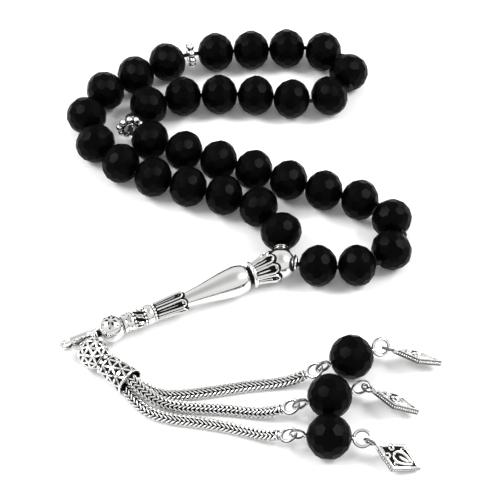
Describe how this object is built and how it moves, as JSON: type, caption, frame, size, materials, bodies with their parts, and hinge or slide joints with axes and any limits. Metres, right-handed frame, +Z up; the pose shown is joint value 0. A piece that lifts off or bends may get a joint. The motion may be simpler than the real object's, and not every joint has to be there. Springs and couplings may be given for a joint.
{
  "type": "misbaha prayer beads",
  "caption": "Closed loop of faceted black beads with daisy spacers, joined by a tapered silver end piece that carries a tassel of chains with beads and kite-shaped charms.",
  "frame": {"origin": "under the middle of the laid-out set, on the surface that it lies on", "axes": "+Z up from the surface, +Y from the tassel to the far end of the bead loop, +X towards the charms"},
  "size_m": [0.0943, 0.1386, 0.0105],
  "materials": {
    "onyx": "polished",
    "silver": "polished with blackened recesses",
    "silver_chain": "satin",
    "cord": "matte"
  },
  "bodies": {
    "imame": {"string": "cord", "imame_head": "silver", "imame_lotus": "silver", "imame_baluster": "silver", "imame_calyx": "silver", "imame_tail_ball": "silver"},
    "tail_loop": {"tail_loop": "silver"},
    "tassel_head": {"tassel_core": "silver", "filigree_ball": "silver", "filigree_sleeve": "silver"},
    "leg_1": {"chain_1": "silver_chain", "end_ring_1": "silver"},
    "leg_2": {"chain_2": "silver_chain", "end_ring_2": "silver"},
    "leg_3": {"chain_3": "silver_chain", "end_ring_3": "silver"},
    "pin_1": {"eye_pin_1": "silver"},
    "pin_2": {"eye_pin_2": "silver"},
    "pin_3": {"eye_pin_3": "silver"},
    "tassel_bead_1": {"tassel_bead_1": "onyx"},
    "tassel_bead_2": {"tassel_bead_2": "onyx"},
    "tassel_bead_3": {"tassel_bead_3": "onyx"},
    "charm_1": {"charm_1": "silver"},
    "charm_2": {"charm_2": "silver"},
    "charm_3": {"charm_3": "silver"},
    "bead_01": {"bead_01": "onyx"},
    "bead_02": {"bead_02": "onyx"},
    "bead_03": {"bead_03": "onyx"},
    "bead_04": {"bead_04": "onyx"},
    "bead_05": {"bead_05": "onyx"},
    "bead_06": {"bead_06": "onyx"},
    "bead_07": {"bead_07": "onyx"},
    "bead_08": {"bead_08": "onyx"},
    "bead_09": {"bead_09": "onyx"},
    "bead_10": {"bead_10": "onyx"},
    "bead_11": {"bead_11": "onyx"},
    "marker_1": {"marker_1": "silver"},
    "bead_12": {"bead_12": "onyx"},
    "bead_13": {"bead_13": "onyx"},
    "bead_14": {"bead_14": "onyx"},
    "bead_15": {"bead_15": "onyx"},
    "bead_16": {"bead_16": "onyx"},
    "bead_17": {"bead_17": "onyx"},
    "bead_18": {"bead_18": "onyx"},
    "bead_19": {"bead_19": "onyx"},
    "bead_20": {"bead_20": "onyx"},
    "bead_21": {"bead_21": "onyx"},
    "bead_22": {"bead_22": "onyx"},
    "marker_2": {"marker_2": "silver"},
    "bead_23": {"bead_23": "onyx"},
    "bead_24": {"bead_24": "onyx"},
    "bead_25": {"bead_25": "onyx"},
    "bead_26": {"bead_26": "onyx"},
    "bead_27": {"bead_27": "onyx"},
    "bead_28": {"bead_28": "onyx"},
    "bead_29": {"bead_29": "onyx"},
    "bead_30": {"bead_30": "onyx"},
    "bead_31": {"bead_31": "onyx"},
    "bead_32": {"bead_32": "onyx"},
    "bead_33": {"bead_33": "onyx"}
  },
  "joints": [
    {"name": "tail_loop_swivel", "type": "hinge", "parent": "imame", "child": "tail_loop", "pos_m": [-0.03291, -0.02902, 0.0041], "axis": [-0.8988, -0.4384, 0], "range_deg": [0, 90]},
    {"name": "tassel_swing", "type": "hinge", "parent": "tail_loop", "child": "tassel_head", "pos_m": [-0.04343, -0.03415, 0.0041], "axis": [0, 0, 1], "range_deg": [-110, 0]},
    {"name": "leg_1_swing", "type": "hinge", "parent": "tassel_head", "child": "leg_1", "pos_m": [-0.02677, -0.04401, 0.00325], "axis": [0, 0, 1], "range_deg": [0, 15]},
    {"name": "leg_2_lift", "type": "hinge", "parent": "tassel_head", "child": "leg_2", "pos_m": [-0.02778, -0.04509, 0.0058], "axis": [-0.1724, -0.985, 0], "range_deg": [0, 30]},
    {"name": "leg_3_swing", "type": "hinge", "parent": "tassel_head", "child": "leg_3", "pos_m": [-0.02878, -0.04616, 0.00325], "axis": [0, 0, 1], "range_deg": [-15, 0]},
    {"name": "pin_1_lift", "type": "hinge", "parent": "leg_1", "child": "pin_1", "pos_m": [0.0182, -0.04123, 0.00525], "axis": [0.3827, -0.9239, 0], "range_deg": [0, 60]},
    {"name": "pin_2_lift", "type": "hinge", "parent": "leg_2", "child": "pin_2", "pos_m": [0.01257, -0.05215, 0.00525], "axis": [0.3173, -0.9483, 0], "range_deg": [0, 60]},
    {"name": "pin_3_lift", "type": "hinge", "parent": "leg_3", "child": "pin_3", "pos_m": [0.01181, -0.06078, 0.00525], "axis": [-0.0698, -0.9976, 0], "range_deg": [0, 60]},
    {"name": "tassel_bead_1_spin", "type": "hinge", "parent": "pin_1", "child": "tassel_bead_1", "pos_m": [0.02504, -0.0384, 0.00525], "axis": [0.9239, 0.3827, 0], "continuous": true},
    {"name": "tassel_bead_2_spin", "type": "hinge", "parent": "pin_2", "child": "tassel_bead_2", "pos_m": [0.01959, -0.0498, 0.00525], "axis": [0.9483, 0.3173, 0], "continuous": true},
    {"name": "tassel_bead_3_spin", "type": "hinge", "parent": "pin_3", "child": "tassel_bead_3", "pos_m": [0.01919, -0.0613, 0.00525], "axis": [0.9976, -0.0698, 0], "continuous": true},
    {"name": "charm_1_swing", "type": "hinge", "parent": "pin_1", "child": "charm_1", "pos_m": [0.0322, -0.03543, 0.00525], "axis": [0.2706, -0.6533, 0.7071], "range_deg": [0, 60]},
    {"name": "charm_2_swing", "type": "hinge", "parent": "pin_2", "child": "charm_2", "pos_m": [0.02694, -0.04734, 0.00525], "axis": [0.3125, -0.9339, 0.1736], "range_deg": [0, 60]},
    {"name": "charm_3_swing", "type": "hinge", "parent": "pin_3", "child": "charm_3", "pos_m": [0.02692, -0.06184, 0.00525], "axis": [-0.0216, -0.3083, 0.9511], "range_deg": [0, 60]},
    {"name": "marker_1_spin", "type": "hinge", "parent": "imame", "child": "marker_1", "pos_m": [-0.03058, 0.03584, 0.00506], "axis": [-0.258, 0.9661, 0], "continuous": true},
    {"name": "marker_2_spin", "type": "hinge", "parent": "imame", "child": "marker_2", "pos_m": [-0.0152, 0.0619, 0.00506], "axis": [-0.9746, -0.2238, 0], "continuous": true},
    {"name": "bead_01_spin", "type": "hinge", "parent": "imame", "child": "bead_01", "pos_m": [0.01762, -0.01035, 0.00506], "axis": [0.9952, -0.0978, 0], "continuous": true},
    {"name": "bead_02_spin", "type": "hinge", "parent": "imame", "child": "bead_02", "pos_m": [0.02726, -0.01025, 0.00506], "axis": [0.993, 0.1182, 0], "continuous": true},
    {"name": "bead_03_spin", "type": "hinge", "parent": "imame", "child": "bead_03", "pos_m": [0.03595, -0.00533, 0.00506], "axis": [0.6104, 0.7921, 0], "continuous": true},
    {"name": "bead_04_spin", "type": "hinge", "parent": "imame", "child": "bead_04", "pos_m": [0.03645, 0.00476, 0.00506], "axis": [-0.5286, 0.8489, 0], "continuous": true},
    {"name": "bead_05_spin", "type": "hinge", "parent": "imame", "child": "bead_05", "pos_m": [0.02859, 0.01099, 0.00506], "axis": [-0.9467, 0.3222, 0], "continuous": true},
    {"name": "bead_06_spin", "type": "hinge", "parent": "imame", "child": "bead_06", "pos_m": [0.01953, 0.0141, 0.00506], "axis": [-0.9453, 0.3262, 0], "continuous": true},
    {"name": "bead_07_spin", "type": "hinge", "parent": "imame", "child": "bead_07", "pos_m": [0.01061, 0.01754, 0.00506], "axis": [-0.9197, 0.3927, 0], "continuous": true},
    {"name": "bead_08_spin", "type": "hinge", "parent": "imame", "child": "bead_08", "pos_m": [0.00172, 0.0211, 0.00506], "axis": [-0.9362, 0.3515, 0], "continuous": true},
    {"name": "bead_09_spin", "type": "hinge", "parent": "imame", "child": "bead_09", "pos_m": [-0.00731, 0.02427, 0.00506], "axis": [-0.9509, 0.3096, 0], "continuous": true},
    {"name": "bead_10_spin", "type": "hinge", "parent": "imame", "child": "bead_10", "pos_m": [-0.01631, 0.02755, 0.00506], "axis": [-0.9266, 0.376, 0], "continuous": true},
    {"name": "bead_11_spin", "type": "hinge", "parent": "imame", "child": "bead_11", "pos_m": [-0.02517, 0.03126, 0.00506], "axis": [-0.918, 0.3966, 0], "continuous": true},
    {"name": "bead_12_spin", "type": "hinge", "parent": "imame", "child": "bead_12", "pos_m": [-0.02594, 0.04333, 0.00506], "axis": [0.8144, 0.5803, 0], "continuous": true},
    {"name": "bead_13_spin", "type": "hinge", "parent": "imame", "child": "bead_13", "pos_m": [-0.01691, 0.04666, 0.00506], "axis": [0.996, 0.0895, 0], "continuous": true},
    {"name": "bead_14_spin", "type": "hinge", "parent": "imame", "child": "bead_14", "pos_m": [-0.00735, 0.04731, 0.00506], "axis": [0.9989, 0.0474, 0], "continuous": true},
    {"name": "bead_15_spin", "type": "hinge", "parent": "imame", "child": "bead_15", "pos_m": [0.00225, 0.04699, 0.00506], "axis": [0.9935, -0.114, 0], "continuous": true},
    {"name": "bead_16_spin", "type": "hinge", "parent": "imame", "child": "bead_16", "pos_m": [0.01173, 0.04573, 0.00506], "axis": [0.9886, -0.1505, 0], "continuous": true},
    {"name": "bead_17_spin", "type": "hinge", "parent": "imame", "child": "bead_17", "pos_m": [0.02167, 0.04681, 0.00506], "axis": [0.9332, 0.3594, 0], "continuous": true},
    {"name": "bead_18_spin", "type": "hinge", "parent": "imame", "child": "bead_18", "pos_m": [0.02692, 0.05525, 0.00506], "axis": [-0.1015, 0.9948, 0], "continuous": true},
    {"name": "bead_19_spin", "type": "hinge", "parent": "imame", "child": "bead_19", "pos_m": [0.02041, 0.06299, 0.00506], "axis": [-0.9599, 0.2805, 0], "continuous": true},
    {"name": "bead_20_spin", "type": "hinge", "parent": "imame", "child": "bead_20", "pos_m": [0.01065, 0.06415, 0.00506], "axis": [-0.9989, -0.0471, 0], "continuous": true},
    {"name": "bead_21_spin", "type": "hinge", "parent": "imame", "child": "bead_21", "pos_m": [0.00109, 0.06355, 0.00506], "axis": [-0.997, -0.0778, 0], "continuous": true},
    {"name": "bead_22_spin", "type": "hinge", "parent": "imame", "child": "bead_22", "pos_m": [-0.00845, 0.06276, 0.00506], "axis": [-0.9962, -0.0866, 0], "continuous": true},
    {"name": "bead_23_spin", "type": "hinge", "parent": "imame", "child": "bead_23", "pos_m": [-0.02138, 0.05902, 0.00506], "axis": [-0.8666, -0.4989, 0], "continuous": true},
    {"name": "bead_24_spin", "type": "hinge", "parent": "imame", "child": "bead_24", "pos_m": [-0.02962, 0.05419, 0.00506], "axis": [-0.8589, -0.5121, 0], "continuous": true},
    {"name": "bead_25_spin", "type": "hinge", "parent": "imame", "child": "bead_25", "pos_m": [-0.03744, 0.04865, 0.00506], "axis": [-0.7684, -0.6399, 0], "continuous": true},
    {"name": "bead_26_spin", "type": "hinge", "parent": "imame", "child": "bead_26", "pos_m": [-0.04199, 0.03978, 0.00506], "axis": [-0.0685, -0.9977, 0], "continuous": true},
    {"name": "bead_27_spin", "type": "hinge", "parent": "imame", "child": "bead_27", "pos_m": [-0.03928, 0.03018, 0.00506], "axis": [0.5799, -0.8147, 0], "continuous": true},
    {"name": "bead_28_spin", "type": "hinge", "parent": "imame", "child": "bead_28", "pos_m": [-0.03248, 0.02328, 0.00506], "axis": [0.8064, -0.5913, 0], "continuous": true},
    {"name": "bead_29_spin", "type": "hinge", "parent": "imame", "child": "bead_29", "pos_m": [-0.02404, 0.0186, 0.00506], "axis": [0.9283, -0.3719, 0], "continuous": true},
    {"name": "bead_30_spin", "type": "hinge", "parent": "imame", "child": "bead_30", "pos_m": [-0.01504, 0.01533, 0.00506], "axis": [0.9505, -0.3106, 0], "continuous": true},
    {"name": "bead_31_spin", "type": "hinge", "parent": "imame", "child": "bead_31", "pos_m": [-0.00588, 0.01257, 0.00506], "axis": [0.9639, -0.2661, 0], "continuous": true},
    {"name": "bead_32_spin", "type": "hinge", "parent": "imame", "child": "bead_32", "pos_m": [0.00288, 0.00864, 0.00506], "axis": [0.8396, -0.5432, 0], "continuous": true},
    {"name": "bead_33_spin", "type": "hinge", "parent": "imame", "child": "bead_33", "pos_m": [0.00853, 0.00057, 0.00506], "axis": [0.2213, -0.9752, 0], "continuous": true}
  ]
}
